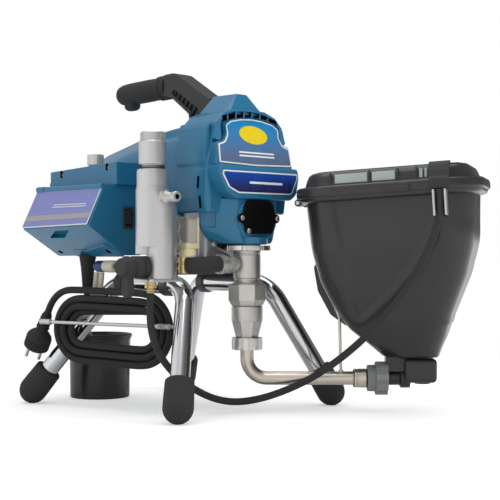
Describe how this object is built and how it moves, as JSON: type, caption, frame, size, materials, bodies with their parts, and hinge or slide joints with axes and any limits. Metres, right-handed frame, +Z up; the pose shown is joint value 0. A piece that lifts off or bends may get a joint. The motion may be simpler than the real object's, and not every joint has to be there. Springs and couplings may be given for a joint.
{
  "type": "airless paint sprayer",
  "caption": "Airless paint sprayer on a tube stand: piston pump under a blue shroud, side control box and filter manifold, suction pipe to a black hopper, power cord and return hose.",
  "frame": {"origin": "on the floor, under the middle of the object without its cords", "axes": "+Z up, the front with the badges faces -Y, the control box and manifold are on -X"},
  "size_m": [0.4753, 0.6386, 0.4918],
  "materials": {
    "stand_tube": "polished nickel plate",
    "foot_rubber": "matt",
    "plated_steel": "zinc plated",
    "blue_shell": "glossy blue",
    "black_plastic": "satin black",
    "black_rubber": "soft black",
    "black_gloss": "glossy black",
    "cast_metal": "cast",
    "manifold_metal": "machined satin",
    "nickel_steel": "nickel plated",
    "gear_steel": "machined",
    "stator_steel": "varnished",
    "brass": "machined",
    "badge_print": "printed gradient under clear coat",
    "label_print": "printed film",
    "board": "green laminate",
    "amber_plastic": "amber",
    "hose_rubber": "smooth black",
    "beige_tube": "soft beige",
    "cord_rubber": "matt black",
    "filter_mesh": "woven"
  },
  "bodies": {
    "root": {"leg_hoop_left": "stand_tube", "leg_hoop_right": "stand_tube", "rubber_feet": "foot_rubber", "chassis_plate": "plated_steel", "cord_wrap": "plated_steel", "drive_housing": "blue_shell", "gear_casing": "cast_metal", "gear_cover": "cast_metal", "motor_stator": "stator_steel", "front_shroud": "blue_shell", "motor_shroud": "blue_shell", "top_hump": "blue_shell", "handle_arm": "black_plastic", "handle_grip": "black_rubber", "front_badges": "badge_print", "jam_nut": "nickel_steel", "pump_cylinder": "nickel_steel", "pump_block": "nickel_steel", "foot_valve": "nickel_steel", "suction_pipe": "nickel_steel", "hopper_outlet": "black_gloss", "hopper_tub": "black_gloss", "hopper_strainer": "filter_mesh", "hose_clip": "black_plastic", "cover_screws": "plated_steel", "rod_guard": "black_plastic", "control_box": "blue_shell", "box_cover": "blue_shell", "label_panel": "label_print", "circuit_board": "board", "strain_relief": "black_rubber", "manifold": "manifold_metal", "manifold_bracket": "plated_steel", "filter_element": "filter_mesh", "outlet_nipple": "plated_steel", "prime_valve": "black_plastic", "brass_fittings": "brass", "inlet_block": "amber_plastic", "outlet_swivel": "nickel_steel", "connecting_hose": "hose_rubber", "drain_valve": "plated_steel", "drain_cup": "black_gloss", "power_cord_coil": "cord_rubber", "power_cord": "cord_rubber", "power_plug": "black_rubber", "return_hose": "hose_rubber", "drain_tubes": "beige_tube"},
    "pump_rod": {"piston_rod": "gear_steel"},
    "crank": {"crankshaft": "gear_steel"},
    "middle": {"middle_gear": "gear_steel"},
    "rotor": {"motor_rotor": "gear_steel", "cooling_fan": "black_plastic"},
    "knob": {"pressure_knob": "plated_steel"},
    "rocker": {"power_switch": "black_plastic"},
    "lever": {"prime_lever": "black_plastic"},
    "cap": {"filter_cap": "manifold_metal"},
    "suction_nut": {"inlet_nut": "nickel_steel"},
    "union": {"union_nut": "plated_steel"},
    "lid": {"hopper_lid": "black_gloss"},
    "ball": {"inlet_ball": "gear_steel"}
  },
  "joints": [
    {"name": "pump_stroke", "type": "slide", "parent": "root", "child": "pump_rod", "axis": [0, 0, 1], "range_m": [-0.008, 0.008]},
    {"name": "rotor_spin", "type": "hinge", "parent": "root", "child": "rotor", "pos_m": [-0.0477, 0.1653, 0.325], "axis": [0, 1, 0], "continuous": true},
    {"name": "middle_spin", "type": "hinge", "parent": "root", "child": "middle", "pos_m": [-0.01272, 0.0413, 0.32628], "axis": [0, 1, 0], "continuous": true},
    {"name": "crank_spin", "type": "hinge", "parent": "root", "child": "crank", "pos_m": [-0.0477, 0.0053, 0.3], "axis": [0, 1, 0], "continuous": true},
    {"name": "knob_turn", "type": "hinge", "parent": "root", "child": "knob", "pos_m": [-0.1397, 0.1933, 0.355], "axis": [0, 0, 1], "range_deg": [0, 270]},
    {"name": "rocker_tilt", "type": "hinge", "parent": "root", "child": "rocker", "pos_m": [-0.1467, 0.1083, 0.275], "axis": [-1, 0, 0], "range_deg": [0, 9]},
    {"name": "lever_turn", "type": "hinge", "parent": "root", "child": "lever", "pos_m": [-0.2227, 0.0118, 0.205], "axis": [-1, 0, 0], "range_deg": [0, 90]},
    {"name": "cap_turn", "type": "hinge", "parent": "root", "child": "cap", "pos_m": [-0.1807, 0.0118, 0.36], "axis": [0, 0, 1], "range_deg": [0, 360]},
    {"name": "suction_nut_turn", "type": "hinge", "parent": "root", "child": "suction_nut", "pos_m": [-0.0477, -0.0347, 0.097], "axis": [0, 0, 1], "range_deg": [0, 360]},
    {"name": "union_turn", "type": "hinge", "parent": "root", "child": "union", "pos_m": [0.08113, -0.16042, 0.0485], "axis": [0.7157, -0.6984, 0], "range_deg": [0, 360]},
    {"name": "lid_lift", "type": "slide", "parent": "root", "child": "lid", "axis": [-0.0424, 0.0414, 0.9982], "range_m": [0, 0.12]},
    {"name": "ball_lift", "type": "slide", "parent": "root", "child": "ball", "axis": [0, 0, 1], "range_m": [0, 0.005]}
  ],
  "couplings": [
    {"joint": "middle_spin", "follows": "rotor_spin", "ratio": -0.27273},
    {"joint": "crank_spin", "follows": "rotor_spin", "ratio": 0.068182}
  ]
}
